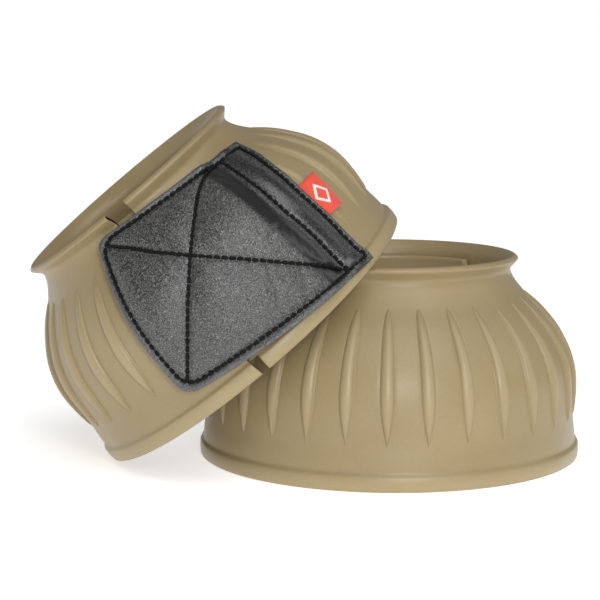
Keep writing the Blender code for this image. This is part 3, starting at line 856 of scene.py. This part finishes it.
class Look:
    """A material under construction, with short calls for its nodes."""

    def __init__(self, name, colour, roughness, **sockets):
        self.material = bpy.data.materials.new(name)
        self.material.use_nodes = True
        self.tree = self.material.node_tree
        self.shader = self.tree.nodes["Principled BSDF"]
        self.shader.inputs["Base Color"].default_value = (*colour, 1.0)
        self.shader.inputs["Roughness"].default_value = roughness
        for socket, value in sockets.items():
            self.shader.inputs[socket.replace("_", " ")].default_value = value
        self.laid = self.node("ShaderNodeAttribute", attribute_name="laid").outputs["Vector"]

    def node(self, kind, inputs=(), **settings):
        made = self.tree.nodes.new(kind)
        for key, value in settings.items():
            setattr(made, key, value)
        for key, value in dict(inputs).items():
            if isinstance(value, bpy.types.NodeSocket):
                self.tree.links.new(value, made.inputs[key])
            else:
                made.inputs[key].default_value = value
        return made

    def noise(self, scale, detail=3.0):
        return self.node("ShaderNodeTexNoise", {"Vector": self.laid, "Scale": scale, "Detail": detail,
                                                "Roughness": 0.55}).outputs["Fac"]

    def ramp(self, factor, low, high, start=0.35, end=0.65):
        made = self.node("ShaderNodeValToRGB", {"Fac": factor})
        stops = made.color_ramp.elements
        stops[0].position, stops[1].position = start, end
        stops[0].color, stops[1].color = (*low, 1.0), (*high, 1.0)
        return made.outputs["Color"]

    def math(self, operation, a, b=0.0):
        return self.node("ShaderNodeMath", {0: a, 1: b}, operation=operation).outputs[0]

    def mix(self, factor, a, b, blend="MIX"):
        made = self.node("ShaderNodeMix", data_type="RGBA", blend_type=blend)
        for index, value in ((0, factor), (6, a), (7, b)):
            if isinstance(value, bpy.types.NodeSocket):
                self.tree.links.new(value, made.inputs[index])
            else:
                made.inputs[index].default_value = value if index == 0 else (*value, 1.0)
        return made.outputs[2]

    def colour(self, socket):
        self.tree.links.new(socket, self.shader.inputs["Base Color"])

    def roughness(self, factor, low, high):
        made = self.node("ShaderNodeMapRange", {"Value": factor, "From Min": 0.3, "From Max": 0.7,
                                                "To Min": low, "To Max": high})
        self.tree.links.new(made.outputs[0], self.shader.inputs["Roughness"])

    def bump(self, height, distance, strength=1.0, before=None):
        inputs = {"Height": height, "Distance": distance, "Strength": strength}
        if before is not None:
            inputs["Normal"] = before
        return self.node("ShaderNodeBump", inputs).outputs[0]

    def normal(self, socket):
        self.tree.links.new(socket, self.shader.inputs["Normal"])


def make_rubber():
    """Satin moulded rubber, khaki tan."""
    look = Look("moulded_rubber", (0.42, 0.34, 0.19), 0.45, Specular_IOR_Level=0.5, Sheen_Weight=0.06)
    broad = look.ramp(look.noise(14.0, 2.0), (0.300, 0.228, 0.112), (0.336, 0.260, 0.134))
    fine = look.ramp(look.noise(700.0, 3.0), (0.97, 0.97, 0.97), (1.02, 1.02, 1.02))
    colour = look.mix(1.0, broad, fine, "MULTIPLY")
    # Painted highlight: the parts that stand out from the bell, the rib crests and the base band, are painted
    # paler, towards (0.50, 0.41, 0.23).
    split = look.node("ShaderNodeSeparateXYZ", {"Vector": look.laid})
    offset = look.math("MULTIPLY", split.outputs[2], 100.0)
    crest = look.ramp(offset, (0.0, 0.0, 0.0), (1.0, 1.0, 1.0), 0.40, 0.54)
    look.colour(look.mix(look.math("MULTIPLY", crest, 0.30), colour, (0.50, 0.41, 0.23)))
    look.roughness(look.noise(55.0, 4.0), 0.34, 0.46)
    first = look.bump(look.noise(2600.0, 2.0), 0.00004, 0.5)
    look.normal(look.bump(look.noise(110.0, 2.0), 0.00012, 0.14, first))
    return look.material


def make_leather():
    """Black synthetic leather: a coarse grain, a smooth slope beside the fold darkened with painted shade,
    and a paler margin that is a painted highlight on its rounded edge.
    """
    look = Look("grained_leather", (0.02, 0.02, 0.021), 0.4, Specular_IOR_Level=0.9, Sheen_Weight=0.03)
    cells = look.node("ShaderNodeTexVoronoi", {"Vector": look.laid, "Scale": 1400.0, "Randomness": 1.0},
                      feature="SMOOTH_F1").outputs["Distance"]
    fine = look.noise(2250.0, 1.5)
    grain = look.math("ADD", look.math("MULTIPLY", cells, 0.5), look.math("MULTIPLY", fine, 0.9))
    smooth_and_shaded = look.node("ShaderNodeAttribute", attribute_name="smooth_and_shaded").outputs["Fac"]
    margin = look.node("ShaderNodeAttribute", attribute_name="margin").outputs["Fac"]
    tone = look.ramp(fine, (0.001, 0.001, 0.001), (0.170, 0.168, 0.163), 0.48, 0.62)
    # Painted shade: the slope beside the fold and the strip between the anchor rows are painted almost black.
    tone = look.mix(smooth_and_shaded, tone, (0.001, 0.001, 0.001))
    # Painted highlight: the margin outside the hem is painted a paler grey, for light on its rounded edge.
    pale = look.ramp(look.noise(1300.0, 3.0), (0.025, 0.026, 0.028), (0.125, 0.127, 0.135))
    look.colour(look.mix(look.math("MULTIPLY", margin, 0.8), tone, pale))
    rough = look.math("SUBTRACT", look.noise(900.0, 3.0), look.math("MULTIPLY", smooth_and_shaded, 0.15))
    look.roughness(rough, 0.22, 0.40)
    height = look.math("MULTIPLY", grain, look.math("SUBTRACT", 1.0, look.math("MULTIPLY", smooth_and_shaded, 0.8)))
    look.normal(look.bump(height, 0.00034, 1.0))
    return look.material


def make_thread():
    """Black twisted thread."""
    look = Look("twisted_thread", (0.008, 0.008, 0.009), 0.75, Specular_IOR_Level=0.25)
    wave = look.node("ShaderNodeTexWave", {"Vector": look.laid, "Scale": 520.0, "Distortion": 0.6},
                     bands_direction="DIAGONAL").outputs["Fac"]
    look.colour(look.ramp(wave, (0.001, 0.001, 0.001), (0.006, 0.006, 0.006), 0.2, 0.8))
    look.normal(look.bump(wave, 0.00010, 0.9))
    return look.material


def make_lining():
    """Black knitted lining."""
    look = Look("knit_lining", (0.02, 0.02, 0.02), 0.9, Sheen_Weight=0.3)
    wave = look.node("ShaderNodeTexWave", {"Vector": look.laid, "Scale": 330.0, "Distortion": 1.5,
                                           "Detail": 1.0}).outputs["Fac"]
    look.colour(look.ramp(wave, (0.012, 0.012, 0.013), (0.045, 0.045, 0.047), 0.3, 0.7))
    look.normal(look.bump(wave, 0.00012, 0.8))
    return look.material


def make_pile(name, pale):
    """Hook or loop tufts."""
    look = Look(name, (0.02, 0.02, 0.02), 0.85, Sheen_Weight=0.35)
    look.colour(look.ramp(look.noise(1300.0, 3.0), (0.008, 0.008, 0.009), (pale, pale, pale)))
    look.normal(look.bump(look.noise(3000.0, 2.0), 0.0001, 0.8))
    return look.material


def make_ribbon():
    """Red woven ribbon with a plain white diamond."""
    look = Look("woven_ribbon", (0.75, 0.08, 0.04), 0.55, Sheen_Weight=0.25)
    split = look.node("ShaderNodeSeparateXYZ", {"Vector": look.laid})
    x, y = split.outputs[0], split.outputs[1]
    dx = look.math("ABSOLUTE", look.math("SUBTRACT", x, 0.0055))
    dy = look.math("ABSOLUTE", look.math("SUBTRACT", y, 0.0493))
    reach = look.math("ADD", dx, look.math("MULTIPLY", dy, 0.8))
    inside, outside = look.math("LESS_THAN", reach, 0.0042), look.math("GREATER_THAN", reach, 0.0027)
    ring = look.math("MULTIPLY", inside, outside)
    weft = look.node("ShaderNodeTexWave", {"Vector": look.laid, "Scale": 900.0, "Distortion": 0.4},
                     bands_direction="Y").outputs["Fac"]
    red = look.ramp(weft, (0.66, 0.045, 0.022), (0.86, 0.095, 0.050), 0.2, 0.8)
    white = look.ramp(weft, (0.62, 0.60, 0.58), (0.85, 0.83, 0.80), 0.2, 0.8)
    look.colour(look.mix(ring, red, white))
    look.normal(look.bump(weft, 0.00008, 0.7))
    return look.material


# ---------------------------------------------------------------- stage, lights and camera

def make_floor():
    """A plain pale floor."""
    bpy.ops.mesh.primitive_plane_add(size=2.0 * FLOOR_HALF)
    floor = bpy.context.object
    floor.name = "floor"
    look = Look("floor", (0.96, 0.96, 0.96), 0.9, Emission_Color=(1.0, 1.0, 1.0, 1.0), Emission_Strength=0.56)
    floor.data.materials.append(look.material)


def make_world():
    """An even pale light from all round, in front of a white backdrop."""
    world = bpy.data.worlds.new("studio")
    world.use_nodes = True
    tree = world.node_tree
    backdrop = tree.nodes["Background"]
    backdrop.inputs["Color"].default_value = (1.0, 1.0, 1.0, 1.0)
    rays = tree.nodes.new("ShaderNodeLightPath")
    strength = tree.nodes.new("ShaderNodeMapRange")
    strength.inputs["To Min"].default_value = AMBIENT
    strength.inputs["To Max"].default_value = 1.0
    tree.links.new(rays.outputs["Is Camera Ray"], strength.inputs["Value"])
    tree.links.new(strength.outputs[0], backdrop.inputs["Strength"])
    bpy.context.scene.world = world
    bpy.context.scene.view_settings.view_transform = "Standard"


def add_to_scene(name, data, rotation, location=(0.0, 0.0, 0.0)):
    """An object for a light or a camera."""
    made = bpy.data.objects.new(name, data)
    made.location, made.rotation_euler = location, rotation
    bpy.context.scene.collection.objects.link(made)
    return made


def softbox(name, place, width, height, power):
    """A soft area light that faces the boots."""
    light = bpy.data.lights.new(name, "AREA")
    light.shape = "RECTANGLE"
    light.size, light.size_y, light.energy = width, height, power
    facing = (Vector(MIDDLE) - Vector(place)).to_track_quat("-Z", "Y").to_euler()
    add_to_scene(name, light, facing, place)


def make_lights():
    """A broad light overhead, a key light in front and a weaker one on each side."""
    sun = bpy.data.lights.new("overhead", "SUN")
    sun.energy, sun.angle = 1.15, math.radians(45.0)
    add_to_scene("overhead", sun, (math.radians(32.0), 0.0, math.radians(20.0)))
    softbox("key", (0.17, -1.00, 0.38), 0.14, 0.34, 4.0)
    softbox("left", (-0.95, 0.20, 0.40), 0.40, 0.80, 0.35)
    softbox("right", (0.95, 0.00, 0.70), 0.40, 0.80, 1.0)


def make_camera():
    """A long lens in front of the boots, a little above them."""
    camera = bpy.data.cameras.new("camera")
    camera.sensor_width, camera.lens = 36.0, 117.5
    camera.clip_start, camera.clip_end = 0.05, 200.0
    away = Vector((0.0, -math.cos(CAMERA_ELEVATION), math.sin(CAMERA_ELEVATION)))
    facing = (-away).to_track_quat("-Z", "Y").to_euler()
    bpy.context.scene.camera = add_to_scene("camera", camera, facing, CAMERA_AIM + away * CAMERA_DISTANCE)


# ---------------------------------------------------------------- building

rubber, leather, thread = make_rubber(), make_leather(), make_thread()
lining, ribbon = make_lining(), make_ribbon()
loops, hooks = make_pile("loop_pile", 0.045), make_pile("hook_pile", 0.028)
field = inflated_flap()
for boot in BOOTS:
    build_bell(boot, rubber)
    build_leather(boot, field, leather)
    build_lining(boot, lining)
    build_stitches(boot, thread)
    build_inner_flap(boot, rubber)
    build_panels(boot, loops, hooks)
    build_tag(boot, ribbon)
make_floor()
make_world()
make_lights()
make_camera()
